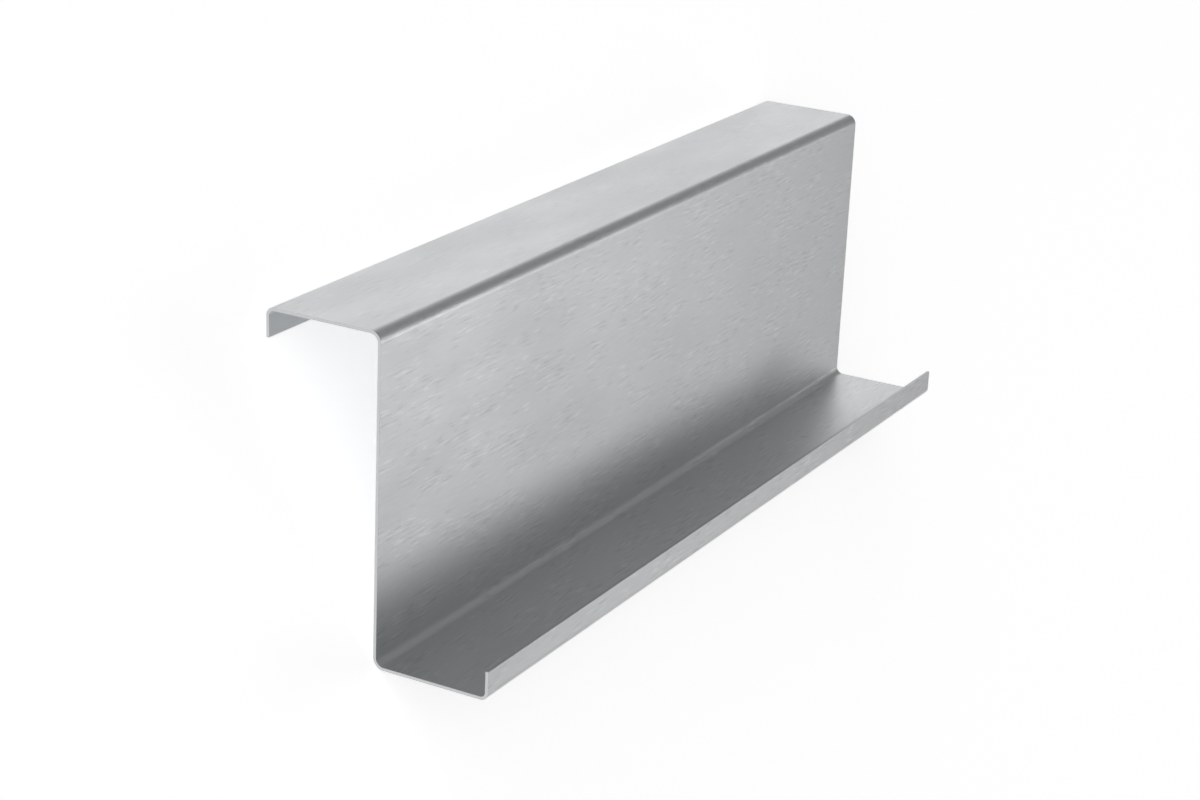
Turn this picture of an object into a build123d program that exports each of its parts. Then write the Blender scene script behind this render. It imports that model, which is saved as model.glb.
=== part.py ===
"""Lipped Z purlin: a short length of cold-formed steel section.

One strip of sheet steel is folded four times into a Z.  It has a deep web, a flange at the top
of the web that points one way, a flange at its foot that points the other way, and a lip along
the edge of each flange that turns back towards the web's middle.  Every wall is the same strip,
so the section is the middle line of that strip, rounded at its folds and given the thickness of
the sheet.  The section runs straight to both ends, which are sawn square.

Left to itself a Z doesn't stand on its flange.  Its weight is over the web, and the flat of the
flange only starts where the fold ends, so it rolls over that fold until the edge of the top lip
meets the floor.  It is modelled as it lies then: +X along its length, +Z up, and the origin on
the floor under the middle of its box.
"""

import math
import os

from build123d import *

# Lengths are in millimetres.  Widths and depths are measured over the outside of the sheet.
LENGTH = 620.0
SHEET_THICKNESS = 2.0
WEB_DEPTH = 200.0
TOP_FLANGE_WIDTH = 76.0
BOTTOM_FLANGE_WIDTH = 76.0
TOP_LIP_DEPTH = 18.0
BOTTOM_LIP_DEPTH = 18.0

# Radii on the inside of the folds
WEB_FOLD_RADIUS = 5.0
LIP_FOLD_RADIUS = 3.0


def strip_corners() -> list[tuple[float, float]]:
    """Corners of the strip's middle line, from the bottom lip's edge to the top lip's edge.

    They are (across, up) pairs in the upright section, with the web's middle plane at 0 across
    and the underside of the bottom flange at 0 up.
    """
    half_sheet = SHEET_THICKNESS / 2
    bottom_lip_across = SHEET_THICKNESS - BOTTOM_FLANGE_WIDTH
    top_lip_across = TOP_FLANGE_WIDTH - SHEET_THICKNESS
    bottom_flange_up = half_sheet
    top_flange_up = WEB_DEPTH - half_sheet
    return [
        (bottom_lip_across, BOTTOM_LIP_DEPTH),
        (bottom_lip_across, bottom_flange_up),
        (0.0, bottom_flange_up),
        (0.0, top_flange_up),
        (top_lip_across, top_flange_up),
        (top_lip_across, WEB_DEPTH - TOP_LIP_DEPTH),
    ]


def upright_purlin() -> Part:
    """The purlin standing on its bottom flange, with its length along +X from 0."""
    middle_of_sheet = SHEET_THICKNESS / 2
    web_fold = WEB_FOLD_RADIUS + middle_of_sheet
    lip_fold = LIP_FOLD_RADIUS + middle_of_sheet
    with BuildPart() as purlin:
        with BuildSketch(Plane.YZ):
            with BuildLine():
                FilletPolyline(*strip_corners(), radius=[lip_fold, web_fold, web_fold, lip_fold])
            trace(line_width=SHEET_THICKNESS)
        extrude(amount=LENGTH)
    return purlin.part


def resting_roll() -> float:
    """Degrees that the upright section rolls before the top lip's edge meets the floor.

    It rolls on the outside of the bottom fold, which is round, so the fold's centre stays one
    outside radius above the floor.  It stops when the outer corner of the lip's edge has come
    down by the same radius below that centre.
    """
    outside_radius = WEB_FOLD_RADIUS + SHEET_THICKNESS
    fold_centre_across = SHEET_THICKNESS / 2 - outside_radius
    lip_edge_across = TOP_FLANGE_WIDTH - SHEET_THICKNESS / 2
    across = lip_edge_across - fold_centre_across
    up = WEB_DEPTH - TOP_LIP_DEPTH - outside_radius
    line_to_lip = math.atan2(up, across)
    drop_to_floor = math.asin(outside_radius / math.hypot(across, up))
    return math.degrees(line_to_lip + drop_to_floor)


def lying_purlin() -> Part:
    """The purlin at rest on its bottom fold and its top lip, over the origin."""
    rolled = Rot(X=-resting_roll()) * upright_purlin()
    box = rolled.bounding_box()
    return Pos(-box.center().X, -box.center().Y, -box.min.Z) * rolled


os.makedirs("parts", exist_ok=True)
z_purlin = lying_purlin()
z_purlin.label = "z_purlin"
export_step(z_purlin, "parts/z_purlin.step")
print(f"z_purlin: {z_purlin.volume / LENGTH:.1f} mm2 of steel, rolled {resting_roll():.2f} degrees")
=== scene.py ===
"""Looks of a short length of lipped Z purlin, lying at rest on a pale studio floor.

The purlin is one strip of galvanised sheet, folded four times.  It is modelled as it is made:
a flat web, flanges and lips folded out of its edges, the folds rounded, the sheet given its
thickness, its cut edges broken, and the whole rolled over into the pose in which it rests.
Lengths are in metres.  The section is described standing upright, with the web's middle plane
at 0 across (Y), the underside of the bottom flange at 0 up (Z) and the near end at 0 along (X).
"""

import logging
import math
from collections.abc import Callable
from dataclasses import dataclass, field
from enum import Enum

import bpy
from mathutils import Matrix, Vector


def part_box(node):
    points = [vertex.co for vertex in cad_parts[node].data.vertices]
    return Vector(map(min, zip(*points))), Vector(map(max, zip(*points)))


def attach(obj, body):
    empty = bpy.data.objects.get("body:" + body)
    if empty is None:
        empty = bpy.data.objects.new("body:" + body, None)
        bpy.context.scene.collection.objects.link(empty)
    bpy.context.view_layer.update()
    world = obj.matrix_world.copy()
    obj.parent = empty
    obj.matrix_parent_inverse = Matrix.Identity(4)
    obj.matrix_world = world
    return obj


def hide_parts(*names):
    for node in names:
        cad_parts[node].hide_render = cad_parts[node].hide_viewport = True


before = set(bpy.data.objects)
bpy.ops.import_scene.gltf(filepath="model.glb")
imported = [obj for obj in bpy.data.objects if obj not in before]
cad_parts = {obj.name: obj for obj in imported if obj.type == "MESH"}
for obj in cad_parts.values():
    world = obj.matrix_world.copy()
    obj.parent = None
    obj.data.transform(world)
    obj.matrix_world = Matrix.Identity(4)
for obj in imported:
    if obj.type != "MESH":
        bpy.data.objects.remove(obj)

NODE = "z_purlin"
BODY = "root"
STRIP_MAP = "unrolled"

# Corners nearer to each other than this, in metres, are in one place
SAME_PLACE = 1e-6

# Decimals to which the places of two corners are rounded before they are matched
PLACE_DIGITS = 6

# Nearly all values of a noise lie between these
NOISE_RANGE = (0.3, 0.7)
NOISE_MIDDLE = 0.5

# Anisotropic Rotation counts whole turns, and this one leads from along the sheet to across it
QUARTER_TURN = 0.25

log = logging.getLogger("z_purlin")


class Surface(Enum):
    """Kinds of face on the sheet, each with its place in the piece's list of materials."""

    ROLLED = 0
    CUT = 1


@dataclass(frozen=True)
class FoldedSection:
    """Sizes of the upright section, over the outside of the sheet.

    Attributes:
        sheet: Thickness of the sheet.
        web_depth: Depth of the web, over both flanges.
        top_flange: Width of the top flange, over the web and the lip.
        bottom_flange: Width of the bottom flange, over the web and the lip.
        top_lip: Depth of the top lip, over its flange.
        bottom_lip: Depth of the bottom lip, over its flange.
        web_fold: Radius inside the folds between the web and the flanges.
        lip_fold: Radius inside the folds between the flanges and the lips.
    """

    sheet: float = 0.002
    web_depth: float = 0.200
    top_flange: float = 0.076
    bottom_flange: float = 0.076
    top_lip: float = 0.018
    bottom_lip: float = 0.018
    web_fold: float = 0.005
    lip_fold: float = 0.003

    @property
    def half_sheet(self) -> float:
        """Distance from the sheet's middle to either face."""
        return self.sheet / 2

    @property
    def top_flange_up(self) -> float:
        """Height of the top flange's middle plane."""
        return self.web_depth - self.half_sheet

    @property
    def bottom_flange_up(self) -> float:
        """Height of the bottom flange's middle plane."""
        return self.half_sheet

    @property
    def top_lip_across(self) -> float:
        """Place of the top lip's middle plane."""
        return self.top_flange - self.sheet

    @property
    def bottom_lip_across(self) -> float:
        """Place of the bottom lip's middle plane."""
        return self.sheet - self.bottom_flange

    @property
    def web_fold_outside(self) -> float:
        """Radius outside the folds between the web and the flanges."""
        return self.web_fold + self.sheet

    @property
    def lip_fold_outside(self) -> float:
        """Radius outside the folds between the flanges and the lips."""
        return self.lip_fold + self.sheet

    def resting_roll(self) -> float:
        """Angle by which the upright section rolls over before it rests.

        Returns:
            Radians from upright until the edge of the top lip meets the floor.
        """
        radius = self.web_fold_outside
        across = self.top_flange - self.half_sheet - (self.half_sheet - radius)
        up = self.web_depth - self.top_lip - radius
        return math.atan2(up, across) + math.asin(radius / math.hypot(across, up))

    def resting_matrix(self, length: float) -> Matrix:
        """Turns a place in the upright section into its place on the floor.

        Args:
            length: Length of the purlin, whose middle comes over the origin.

        Returns:
            The matrix from the upright section's axes to the frame's.
        """
        roll = Matrix.Rotation(-self.resting_roll(), 4, "X")
        web_radius = self.web_fold_outside
        lip_radius = self.lip_fold_outside
        web_centre = roll @ Vector((0, self.half_sheet - web_radius, web_radius))
        bottom_centre = roll @ Vector(
            (0, self.bottom_lip_across - self.half_sheet + lip_radius, lip_radius)
        )
        top_centre = roll @ Vector(
            (0, self.top_lip_across + self.half_sheet - lip_radius, self.web_depth - lip_radius)
        )
        # The lips' folds reach furthest to either side, and the web's lower fold lies on the floor
        middle = ((bottom_centre.y - lip_radius) + (top_centre.y + lip_radius)) / 2
        return Matrix.Translation((-length / 2, -middle, web_radius - web_centre.z)) @ roll


@dataclass(frozen=True)
class Pattern:
    """A stretched noise.

    Attributes:
        size: Size of a mark along each of two or three coordinates, in metres.
        detail: How many finer noises are laid over the first.
        shift: How far the noise is moved, so that two patterns differ.
    """

    size: tuple[float, ...]
    detail: float = 2.0
    shift: float = 0.0


class Shading:
    """A material under construction, with short ways to add nodes and join them."""

    def __init__(self, name: str) -> None:
        """Starts a material that has one Principled shader.

        Args:
            name: Name of the material.
        """
        self.material = bpy.data.materials.new(name)
        self.material.use_nodes = True
        self.nodes = self.material.node_tree.nodes
        self.shader = self.nodes["Principled BSDF"]

    def join(self, source: bpy.types.NodeSocket, target: bpy.types.NodeSocket) -> None:
        """Links one socket to another."""
        self.material.node_tree.links.new(source, target)

    def draw(self, pattern: Pattern, place: bpy.types.NodeSocket) -> bpy.types.NodeSocket:
        """Adds a pattern's noise.

        Args:
            pattern: The pattern.
            place: The coordinates that it reads.

        Returns:
            The noise's value, from 0 to 1 and mostly near one half.
        """
        stretch = self.nodes.new("ShaderNodeMapping")
        stretch.inputs["Location"].default_value = (pattern.shift,) * 3
        for axis, side in enumerate(pattern.size):
            stretch.inputs["Scale"].default_value[axis] = 1 / side
        self.join(place, stretch.inputs["Vector"])
        noise = self.nodes.new("ShaderNodeTexNoise")
        noise.inputs["Scale"].default_value = 1.0
        noise.inputs["Detail"].default_value = pattern.detail
        self.join(stretch.outputs["Vector"], noise.inputs["Vector"])
        return noise.outputs["Fac"]

    def spread(
        self,
        value: bpy.types.NodeSocket,
        seen: tuple[float, float],
        given: tuple[float, float],
        way: str = "SMOOTHSTEP",
    ) -> bpy.types.NodeSocket:
        """Maps one range of values onto another.

        Args:
            value: The value to map.
            seen: Range of the value, past which it is held.
            given: What the ends of that range become.
            way: How the values between them run, smoothly unless LINEAR is given.

        Returns:
            The mapped value.
        """
        ramp = self.nodes.new("ShaderNodeMapRange")
        ramp.interpolation_type = way
        for socket, number in zip(("From Min", "From Max", "To Min", "To Max"), (*seen, *given)):
            ramp.inputs[socket].default_value = number
        self.join(value, ramp.inputs["Value"])
        return ramp.outputs["Result"]

    def sum_of(self, *terms: bpy.types.NodeSocket) -> bpy.types.NodeSocket:
        """Adds values up."""
        return self._chain("ADD", terms)

    def product_of(self, *terms: bpy.types.NodeSocket) -> bpy.types.NodeSocket:
        """Multiplies values with each other."""
        return self._chain("MULTIPLY", terms)

    def _chain(self, operation: str, terms: tuple[bpy.types.NodeSocket, ...]) -> bpy.types.NodeSocket:
        """Joins values two by two.

        Args:
            operation: What is done with each two.
            terms: The values.

        Returns:
            The last result.
        """
        result = terms[0]
        for term in terms[1:]:
            node = self.nodes.new("ShaderNodeMath")
            node.operation = operation
            self.join(result, node.inputs[0])
            self.join(term, node.inputs[1])
            result = node.outputs[0]
        return result

    def tint(
        self,
        tone: bpy.types.NodeSocket,
        color: tuple[float, float, float],
        span: float,
    ) -> None:
        """Colours the surface a little brighter or duller from place to place.

        Args:
            tone: Share by which the surface is brighter, or duller where it is negative.
            color: The middle colour.
            span: Largest such share.
        """
        blend = self.nodes.new("ShaderNodeMix")
        blend.data_type = "RGBA"
        factor, dull, bright = (
            next(s for s in blend.inputs if s.identifier == name)
            for name in ("Factor_Float", "A_Color", "B_Color")
        )
        dull.default_value = (*(c * (1 - span) for c in color), 1)
        bright.default_value = (*(c * (1 + span) for c in color), 1)
        self.join(self.spread(tone, (-span, span), (0, 1), "LINEAR"), factor)
        result = next(s for s in blend.outputs if s.identifier == "Result_Color")
        self.join(result, self.shader.inputs["Base Color"])

    def roughen(self, value: bpy.types.NodeSocket, middle: float, span: float) -> None:
        """Makes the surface rougher in some places than in others.

        Args:
            value: A noise's value.
            middle: The middle roughness.
            span: How much rougher the surface is at the noise's high end than at its low end.
        """
        ends = (middle - span / 2, middle + span / 2)
        self.join(self.spread(value, NOISE_RANGE, ends), self.shader.inputs["Roughness"])

    def emboss(self, height: bpy.types.NodeSocket, depth: float) -> None:
        """Gives the surface its relief.

        Args:
            height: Height of the surface, where 1 stands for the full depth.
            depth: Depth of the relief, in metres.
        """
        bump = self.nodes.new("ShaderNodeBump")
        bump.inputs["Strength"].default_value = 1.0
        bump.inputs["Distance"].default_value = depth
        self.join(height, bump.inputs["Height"])
        self.join(bump.outputs["Normal"], self.shader.inputs["Normal"])


@dataclass(frozen=True)
class GalvanisedFinish:
    """Zinc-coated sheet, with the drawn grain of the rolls and short drag marks in patches.

    The grain runs along the sheet, so the gloss spreads further across it than along it.  The top
    flange is less marked than the rest.  A raised mark is painted lighter and a sunk one darker,
    partly the marks' own tone and partly painted highlight and shade of their relief.

    Attributes:
        name: Name of the material.
        color: Colour of the zinc.
        roughness: Roughness between the marks.
        rough_span: How much rougher the dull clouds are than the bright ones.
        across_spread: How far the gloss is drawn out across the grain, from 0 to 1.
        clouds: The soft clouds.
        cloud_share: Share by which the clouds change the colour.
        marks: The drag marks.
        mark_reach: Distances from the noise's middle at which a mark begins and is full.
        mark_tone_and_painted_shade: Share by which a raised mark is painted lighter and a sunk one
            darker, partly the
        marks' own tone and partly painted highlight and shade of their relief.
        mark_depth: Depth of a drag mark.
        patches: The patches in which the marks gather.
        patch_reach: Values of the noise between which a patch sets in.
        patch_gap: Strength of the marks between the patches.
        grain: The fine grain.
        grain_share: Strength of the fine grain as a share of a mark's.
        calm_share: Strength of the marks and grain on the top flange as a share of the web's.
        calm_reach: Places across the strip between which they grow faint, round the top fold.
    """

    name: str = "galvanised_sheet"
    color: tuple[float, float, float] = (0.715, 0.725, 0.735)
    roughness: float = 0.40
    rough_span: float = 0.04
    across_spread: float = 0.6
    clouds: Pattern = Pattern((0.09, 0.035), detail=3.0, shift=1.7)
    cloud_share: float = 0.02
    marks: Pattern = Pattern((0.0135, 0.0017), detail=1.0)
    mark_reach: tuple[float, float] = (0.065, 0.19)
    mark_tone_and_painted_shade: float = 0.10
    mark_depth: float = 0.00002
    patches: Pattern = Pattern((0.034, 0.015), shift=7.3)
    patch_reach: tuple[float, float] = (0.41, 0.59)
    patch_gap: float = 0.16
    grain: Pattern = Pattern((0.012, 0.0005), shift=3.1)
    grain_share: float = 0.05
    calm_share: float = 0.4
    calm_reach: tuple[float, float] = (0.279, 0.288)

    def build(self) -> bpy.types.Material:
        """Makes the material.

        Returns:
            The new material, whose grain follows the sheet round its folds.
        """
        shading = Shading(self.name)
        shading.shader.inputs["Metallic"].default_value = 1.0
        strip = shading.nodes.new("ShaderNodeUVMap")
        strip.uv_map = STRIP_MAP
        place = strip.outputs["UV"]
        self._draw_gloss_across(shading)

        relief = self._relief(shading, place)
        shading.emboss(relief, self.mark_depth)
        clouds = shading.draw(self.clouds, place)
        # The clouds are the zinc's own tone; the marks are partly their own tone and partly painted
        # light, lighter where raised and darker where sunk, as their relief would catch the light
        tone = shading.sum_of(
            shading.spread(relief, (-1, 1), (-self.mark_tone_and_painted_shade, self.mark_tone_and_painted_shade)),
            shading.spread(clouds, NOISE_RANGE, (-self.cloud_share, self.cloud_share)),
        )
        shading.tint(tone, self.color, self.mark_tone_and_painted_shade + self.cloud_share)
        shading.roughen(clouds, self.roughness, -self.rough_span)
        return shading.material

    def _relief(self, shading: Shading, place: bpy.types.NodeSocket) -> bpy.types.NodeSocket:
        """Lays the drag marks over the fine grain.

        Args:
            shading: The material under construction.
            place: The coordinates on the unrolled strip.

        Returns:
            The height of the surface, from -1 in a sunk mark to 1 on a raised one.
        """
        drag = shading.draw(self.marks, place)
        above = tuple(NOISE_MIDDLE + reach for reach in self.mark_reach)
        below = tuple(NOISE_MIDDLE - reach for reach in self.mark_reach)
        marks = shading.sum_of(shading.spread(drag, above, (0, 1)), shading.spread(drag, below, (0, -1)))
        patches = shading.spread(shading.draw(self.patches, place), self.patch_reach, (self.patch_gap, 1))
        grain = shading.draw(self.grain, place)
        grain = shading.spread(grain, NOISE_RANGE, (-self.grain_share, self.grain_share))

        across = shading.nodes.new("ShaderNodeSeparateXYZ")
        shading.join(place, across.inputs["Vector"])
        wear = shading.spread(across.outputs["Y"], self.calm_reach, (1, self.calm_share))
        return shading.product_of(shading.sum_of(shading.product_of(marks, patches), grain), wear)

    def _draw_gloss_across(self, shading: Shading) -> None:
        """Draws the gloss out at right angles to the grain.

        Args:
            shading: The material under construction.
        """
        along = shading.nodes.new("ShaderNodeTangent")
        along.direction_type = "UV_MAP"
        along.uv_map = STRIP_MAP
        shading.join(along.outputs["Tangent"], shading.shader.inputs["Tangent"])
        shading.shader.inputs["Anisotropic"].default_value = self.across_spread
        shading.shader.inputs["Anisotropic Rotation"].default_value = QUARTER_TURN


@dataclass(frozen=True)
class CutEdgeFinish:
    """Bare steel where the sheet was cut, with fine marks of the cut.

    Attributes:
        name: Name of the material.
        color: Colour of the bare steel.
        roughness: Middle of its roughness.
        rough_span: How much its roughness varies.
        marks: The marks of the cut.
        mark_depth: Depth of those marks.
    """

    name: str = "cut_edge"
    color: tuple[float, float, float] = (0.60, 0.61, 0.62)
    roughness: float = 0.45
    rough_span: float = 0.12
    marks: Pattern = Pattern((0.0006, 0.0006, 0.0006))
    mark_depth: float = 0.00001

    def build(self) -> bpy.types.Material:
        """Makes the material.

        Returns:
            The new material.
        """
        shading = Shading(self.name)
        shading.shader.inputs["Metallic"].default_value = 1.0
        shading.shader.inputs["Base Color"].default_value = (*self.color, 1)
        place = shading.nodes.new("ShaderNodeTexCoord").outputs["Object"]
        marks = shading.draw(self.marks, place)
        shading.roughen(marks, self.roughness, self.rough_span)
        shading.emboss(marks, self.mark_depth)
        return shading.material


@dataclass
class PurlinSheet:
    """The purlin's one piece: a strip of sheet, folded, cut and laid down.

    Attributes:
        section: Sizes of the upright section.
        length: Length between the cut ends.
        fold_steps: Flats that make up each rounded fold.
        edge_break: Width of the rounding on the cut edges.
        edge_steps: Flats that make up that rounding.
        sharp_angle: Degrees between two faces, past which the edge between them is broken.
        smooth_angle: Degrees between two faces, up to which they are shaded as one.
        flat_weight: How far the broad faces outweigh the narrow ones in the shading.
        piece: The object that is being made.
    """

    section: FoldedSection
    length: float
    fold_steps: int = 12
    edge_break: float = 0.00015
    edge_steps: int = 2
    sharp_angle: float = 60.0
    smooth_angle: float = 35.0
    flat_weight: int = 100
    piece: bpy.types.Object = field(init=False)

    def model(self) -> bpy.types.Object:
        """Makes the whole piece.

        Returns:
            The finished object, at the origin, with its place in its mesh.
        """
        self._stand_web()
        self._fold_out_flanges()
        self._round_folds()
        self._unroll()
        self._thicken()
        self._break_edges()
        self._lay_down()
        self._shade()
        return self.piece

    def dress(self, rolled: bpy.types.Material, cut: bpy.types.Material) -> None:
        """Puts the finishes on the faces.

        Args:
            rolled: Finish of the sheet's broad faces.
            cut: Finish of the ends and of the lips' edges.
        """
        self.piece.material_slots[Surface.ROLLED.value].material = rolled
        self.piece.material_slots[Surface.CUT.value].material = cut

    def _stand_web(self) -> None:
        """Adds the web as a flat plane between the corners of the middle line."""
        deselect_all()
        depth = self.section.web_depth - self.section.sheet
        bpy.ops.mesh.primitive_plane_add(
            size=1.0,
            location=(self.length / 2, 0, self.section.web_depth / 2),
            rotation=(math.pi / 2, 0, 0),
        )
        self.piece = bpy.context.object
        self.piece.name = NODE + "_sheet"
        self.piece.data.name = self.piece.name
        self.piece.scale = (self.length, depth, 1)
        bpy.ops.object.transform_apply(location=True, rotation=True, scale=True)
        # An empty place for each kind of face, which dress() fills
        for _ in Surface:
            self.piece.data.materials.append(None)

    def _fold_out_flanges(self) -> None:
        """Extrudes each flange from the web's edge, and each lip from its flange's edge."""
        size = self.section
        select_edges(self.piece, on_line(0.0, size.top_flange_up))
        self._extrude_selection((0, size.top_lip_across, 0))
        self._extrude_selection((0, 0, size.half_sheet - size.top_lip))
        select_edges(self.piece, on_line(0.0, size.bottom_flange_up))
        self._extrude_selection((0, size.bottom_lip_across, 0))
        self._extrude_selection((0, 0, size.bottom_lip - size.half_sheet))

    def _extrude_selection(self, shift: tuple[float, float, float]) -> None:
        """Extrudes the selected edges.

        Args:
            shift: How far the new edges move.
        """
        bpy.ops.object.mode_set(mode="EDIT")
        bpy.ops.mesh.extrude_region_move(TRANSFORM_OT_translate={"value": shift})
        bpy.ops.object.mode_set(mode="OBJECT")

    def _round_folds(self) -> None:
        """Rounds the four sharp folds, at the radius of the sheet's middle."""
        size = self.section
        web_radius = size.web_fold + size.half_sheet
        lip_radius = size.lip_fold + size.half_sheet
        for across, up, radius in (
            (0.0, size.top_flange_up, web_radius),
            (0.0, size.bottom_flange_up, web_radius),
            (size.top_lip_across, size.top_flange_up, lip_radius),
            (size.bottom_lip_across, size.bottom_flange_up, lip_radius),
        ):
            select_edges(self.piece, on_line(across, up))
            bpy.ops.object.mode_set(mode="EDIT")
            bpy.ops.mesh.bevel(
                offset_type="OFFSET",
                offset=radius,
                segments=self.fold_steps,
                profile=0.5,
                affect="EDGES",
                clamp_overlap=False,
            )
            bpy.ops.object.mode_set(mode="OBJECT")

    def _unroll(self) -> None:
        """Maps the strip as it was before folding, with U along it and V across it."""
        mesh = self.piece.data
        across = self._places_across()
        layer = mesh.uv_layers.active or mesh.uv_layers.new()
        layer.name = STRIP_MAP
        for loop in mesh.loops:
            corner = mesh.vertices[loop.vertex_index].co
            layer.data[loop.index].uv = (corner.x, across[self._place_in_section(corner)])

    def _places_across(self) -> dict[tuple[float, float], float]:
        """Measures along the section from the bottom lip's edge to the top lip's.

        Returns:
            For the place of each corner in the section, how far across the strip it lies.
        """
        mesh = self.piece.data
        end = [v.index for v in mesh.vertices if v.co.x < self.length / 2]
        beside: dict[int, list[int]] = {i: [] for i in end}
        for edge in mesh.edges:
            first, second = edge.vertices
            if first in beside and second in beside:
                beside[first].append(second)
                beside[second].append(first)
        here = min((i for i in end if len(beside[i]) == 1), key=lambda i: mesh.vertices[i].co.y)
        across = {here: 0.0}
        while onward := [i for i in beside[here] if i not in across]:
            step = (mesh.vertices[onward[0]].co - mesh.vertices[here].co).length
            across[onward[0]] = across[here] + step
            here = onward[0]
        return {self._place_in_section(mesh.vertices[i].co): v for i, v in across.items()}

    @staticmethod
    def _place_in_section(corner: Vector) -> tuple[float, float]:
        """A corner's place across and up, which is the same at both ends."""
        return (round(corner.y, PLACE_DIGITS), round(corner.z, PLACE_DIGITS))

    def _thicken(self) -> None:
        """Gives the strip its sheet thickness, half to each side, with cut faces on its rim."""
        recalculate_normals(self.piece)
        solid = self.piece.modifiers.new("sheet", "SOLIDIFY")
        solid.thickness = self.section.sheet
        solid.offset = 0.0
        solid.use_even_offset = True
        solid.use_rim = True
        solid.material_offset_rim = Surface.CUT.value - Surface.ROLLED.value
        bpy.ops.object.modifier_apply(modifier=solid.name)

    def _break_edges(self) -> None:
        """Rounds the sharp edges of the cuts a little, and keeps the broad faces flat."""
        bevel = self.piece.modifiers.new("edge_break", "BEVEL")
        bevel.width = self.edge_break
        bevel.segments = self.edge_steps
        bevel.limit_method = "ANGLE"
        bevel.angle_limit = math.radians(self.sharp_angle)
        bpy.ops.object.modifier_apply(modifier=bevel.name)

    def _lay_down(self) -> None:
        """Rolls the upright purlin over into the pose in which it rests."""
        self.piece.matrix_world = self.section.resting_matrix(self.length)
        bpy.ops.object.transform_apply(location=True, rotation=True, scale=True)

    def _shade(self) -> None:
        """Shades the folds smooth and the flats flat."""
        bpy.ops.object.shade_smooth_by_angle(angle=math.radians(self.smooth_angle))
        weighted = self.piece.modifiers.new("flat_faces", "WEIGHTED_NORMAL")
        weighted.mode = "FACE_AREA"
        weighted.weight = self.flat_weight
        weighted.keep_sharp = True
        bpy.ops.object.modifier_apply(modifier=weighted.name)


@dataclass(frozen=True)
class Direction:
    """A direction from the purlin outwards.

    Attributes:
        azimuth: Degrees round the purlin, 0 towards -Y and 90 towards +X.
        elevation: Degrees above the floor.
    """

    azimuth: float
    elevation: float

    def vector(self) -> Vector:
        """Gives the direction as a vector.

        Returns:
            The vector, one metre long.
        """
        azimuth = math.radians(self.azimuth)
        elevation = math.radians(self.elevation)
        level = math.cos(elevation)
        return Vector((math.sin(azimuth) * level, -math.cos(azimuth) * level, math.sin(elevation)))


@dataclass(frozen=True)
class PhotographCamera:
    """The camera of the photograph, placed about the upright purlin and rolled down with it.

    Attributes:
        stand: Direction in which the camera stands, about the upright purlin.
        turn: Degrees by which the camera is turned about its own axis.
        distance: Distance to the point it looks at.
        target: The point that it looks at, on the web's middle plane.
        focal_pixels: Focal length, in pixels of the photograph.
        photograph_width: Width of the photograph in pixels.
        sensor_width: Width of the sensor, in millimetres.
        clip: Nearest and farthest distance that the camera sees.
    """

    stand: Direction = Direction(azimuth=-61.45, elevation=19.76)
    turn: float = 2.60
    distance: float = 1.7006
    target: tuple[float, float, float] = (0.2515, 0.0, 0.0874)
    focal_pixels: float = 2702.0
    photograph_width: float = 1200.0
    sensor_width: float = 36.0
    clip: tuple[float, float] = (0.01, 100.0)

    def place(self, resting: Matrix) -> bpy.types.Object:
        """Makes the camera and gives it to the scene.

        Args:
            resting: Matrix from the upright section's axes to the frame's.

        Returns:
            The camera.
        """
        back = self.stand.vector()
        right = Vector((0, 0, 1)).cross(back).normalized()
        up = back.cross(right)
        axes = Matrix((right, up, back)).transposed().to_4x4()
        turned = axes @ Matrix.Rotation(math.radians(self.turn), 4, "Z")
        upright = Matrix.Translation(Vector(self.target) + back * self.distance) @ turned

        data = bpy.data.cameras.new("photograph_camera")
        data.sensor_width = self.sensor_width
        data.lens = self.sensor_width * self.focal_pixels / self.photograph_width
        data.clip_start, data.clip_end = self.clip
        camera = bpy.data.objects.new("photograph_camera", data)
        bpy.context.scene.collection.objects.link(camera)
        camera.matrix_world = resting @ upright
        bpy.context.scene.camera = camera
        return camera


@dataclass(frozen=True)
class Softbox:
    """A soft rectangular lamp that faces the purlin.

    Attributes:
        name: Name of the lamp.
        direction: Where the lamp hangs.
        distance: Distance from the origin to the lamp's middle.
        width: Level side of the lamp.
        height: Other side of the lamp.
        brightness: Radiance of its face, where 1 is white.
    """

    name: str
    direction: Direction
    distance: float
    width: float
    height: float
    brightness: float

    def hang(self) -> bpy.types.Object:
        """Makes the lamp.

        Returns:
            The lamp, which the camera itself doesn't see.
        """
        data = bpy.data.lights.new(self.name, "AREA")
        data.shape = "RECTANGLE"
        data.size = self.width
        data.size_y = self.height
        data.energy = self.brightness * math.pi * self.width * self.height
        lamp = bpy.data.objects.new(self.name, data)
        bpy.context.scene.collection.objects.link(lamp)
        outward = self.direction.vector()
        lamp.location = outward * self.distance
        lamp.rotation_euler = outward.to_track_quat("Z", "Y").to_euler()
        lamp.visible_camera = False
        return lamp


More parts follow.
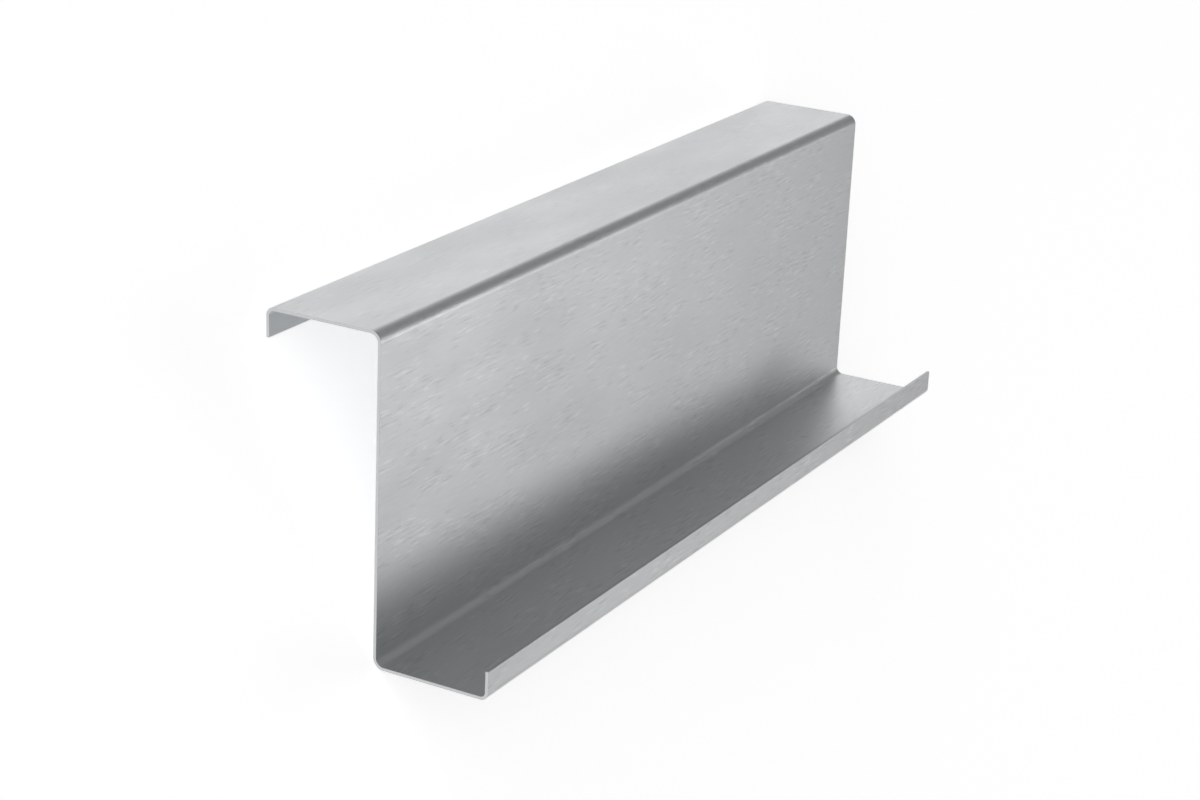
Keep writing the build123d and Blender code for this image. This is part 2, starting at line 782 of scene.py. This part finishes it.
@dataclass(frozen=True)
class Studio:
    """A plain pale floor in a pale room with one darker side, under soft lamps.

    Attributes:
        floor_side: Side of the square floor.
        floor_grey: Grey of the floor, as its shadows show it.
        floor_glow: Share of plain white in what the camera and reflections see of the floor.
        room_grey: Grey of the room.
        dark_grey: Grey of the room's darker side.
        dark_side: Middle of the darker side.
        dark_reach: Degrees from that middle to where the dark begins to fade and where it ends.
        lamps: The soft lamps.
    """

    floor_side: float = 60.0
    floor_grey: float = 0.9
    floor_glow: float = 0.54
    room_grey: float = 0.95
    dark_grey: float = 0.255
    dark_side: Direction = Direction(azimuth=59.0, elevation=31.0)
    dark_reach: tuple[float, float] = (80.0, 122.0)
    lamps: tuple[Softbox, ...] = (
        Softbox(
            name="side_softbox",
            direction=Direction(azimuth=61.5, elevation=32.5),
            distance=5.0,
            width=2.24,
            height=1.77,
            brightness=1.59,
        ),
        Softbox(
            name="fill_softbox",
            direction=Direction(azimuth=-100.0, elevation=55.0),
            distance=5.0,
            width=5.0,
            height=4.0,
            brightness=0.6,
        ),
    )

    def build(self) -> None:
        """Lays the floor, hangs the lamps and paints the room."""
        self._lay_floor()
        for lamp in self.lamps:
            lamp.hang()
        self._paint_room()
        bpy.context.scene.view_settings.view_transform = "Standard"

    def _lay_floor(self) -> None:
        """Lays the floor at the height on which the purlin rests."""
        deselect_all()
        bpy.ops.mesh.primitive_plane_add(size=self.floor_side, location=(0, 0, 0))
        floor = bpy.context.object
        floor.name = "studio_floor"
        floor.data.materials.append(self._floor_material())

    def _floor_material(self) -> bpy.types.Material:
        """Makes the floor's finish, which looks nearly white and still takes a shadow.

        Returns:
            The floor's material.
        """
        shading = Shading("studio_floor")
        shading.nodes.remove(shading.shader)
        matt = shading.nodes.new("ShaderNodeBsdfDiffuse")
        matt.inputs["Color"].default_value = (self.floor_grey,) * 3 + (1,)
        path = shading.nodes.new("ShaderNodeLightPath")
        seen = path.outputs["Is Camera Ray"]
        for way in ("Is Glossy Ray", "Is Transmission Ray"):
            either = shading.nodes.new("ShaderNodeMath")
            either.operation = "MAXIMUM"
            shading.join(seen, either.inputs[0])
            shading.join(path.outputs[way], either.inputs[1])
            seen = either.outputs[0]
        glow = shading.nodes.new("ShaderNodeEmission")
        shading.join(shading.spread(seen, (0, 1), (0, self.floor_glow)), glow.inputs["Strength"])
        both = shading.nodes.new("ShaderNodeAddShader")
        shading.join(matt.outputs[0], both.inputs[0])
        shading.join(glow.outputs[0], both.inputs[1])
        shading.join(both.outputs[0], shading.nodes["Material Output"].inputs["Surface"])
        return shading.material

    def _paint_room(self) -> None:
        """Sets the room's grey, which darkens smoothly towards one side."""
        world = bpy.data.worlds.new("studio_room")
        world.use_nodes = True
        nodes = world.node_tree.nodes
        links = world.node_tree.links
        place = nodes.new("ShaderNodeTexCoord")
        nearness = nodes.new("ShaderNodeVectorMath")
        nearness.operation = "DOT_PRODUCT"
        nearness.inputs[1].default_value = self.dark_side.vector()
        links.new(place.outputs["Generated"], nearness.inputs[0])
        grey = nodes.new("ShaderNodeMapRange")
        grey.interpolation_type = "SMOOTHSTEP"
        grey.inputs["From Min"].default_value = math.cos(math.radians(self.dark_reach[1]))
        grey.inputs["From Max"].default_value = math.cos(math.radians(self.dark_reach[0]))
        grey.inputs["To Min"].default_value = self.room_grey
        grey.inputs["To Max"].default_value = self.dark_grey
        links.new(nearness.outputs["Value"], grey.inputs["Value"])
        links.new(grey.outputs["Result"], nodes["Background"].inputs["Strength"])
        nodes["Background"].inputs["Color"].default_value = (1, 1, 1, 1)
        bpy.context.scene.world = world


def deselect_all() -> None:
    """Leaves nothing selected, so that the next operator acts on its own piece only."""
    if bpy.context.object is not None and bpy.context.object.mode != "OBJECT":
        bpy.ops.object.mode_set(mode="OBJECT")
    bpy.ops.object.select_all(action="DESELECT")


def on_line(across: float, up: float) -> Callable[[Vector], bool]:
    """Makes a test for the corners on one line along the upright purlin.

    Args:
        across: Place of the line across the section.
        up: Height of the line.

    Returns:
        The test, which tells whether a corner lies on the line.
    """

    def lies_there(corner: Vector) -> bool:
        """Tells whether a corner is in the line's place."""
        gaps = (corner.y - across, corner.z - up)
        return all(abs(gap) < SAME_PLACE for gap in gaps)

    return lies_there


def select_edges(piece: bpy.types.Object, wanted: Callable[[Vector], bool]) -> None:
    """Selects the edges whose two ends are both wanted, and nothing else.

    Args:
        piece: The object, in object mode.
        wanted: Tells whether an end of an edge belongs.
    """
    mesh = piece.data
    bpy.ops.object.mode_set(mode="EDIT")
    bpy.ops.mesh.select_mode(type="EDGE")
    bpy.ops.mesh.select_all(action="DESELECT")
    bpy.ops.object.mode_set(mode="OBJECT")
    for edge in mesh.edges:
        edge.select = all(wanted(mesh.vertices[i].co) for i in edge.vertices)


def recalculate_normals(piece: bpy.types.Object) -> None:
    """Makes the strip's faces agree on which way they point.

    Args:
        piece: The object, in object mode.
    """
    bpy.ops.object.mode_set(mode="EDIT")
    bpy.ops.mesh.select_all(action="SELECT")
    bpy.ops.mesh.normals_make_consistent(inside=False)
    bpy.ops.object.mode_set(mode="OBJECT")


def main() -> None:
    """Builds the purlin, the studio and the camera."""
    logging.basicConfig(level=logging.INFO, format="%(message)s")
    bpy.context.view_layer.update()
    low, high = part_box(NODE)
    section = FoldedSection()
    length = high[0] - low[0]

    purlin = PurlinSheet(section, length)
    piece = purlin.model()
    purlin.dress(GalvanisedFinish().build(), CutEdgeFinish().build())
    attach(piece, BODY)
    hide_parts(NODE)
    log.info("%s: %d faces, %.3f m long", piece.name, len(piece.data.polygons), length)

    Studio().build()
    PhotographCamera().place(section.resting_matrix(length))


if __name__ == "__main__":
    main()
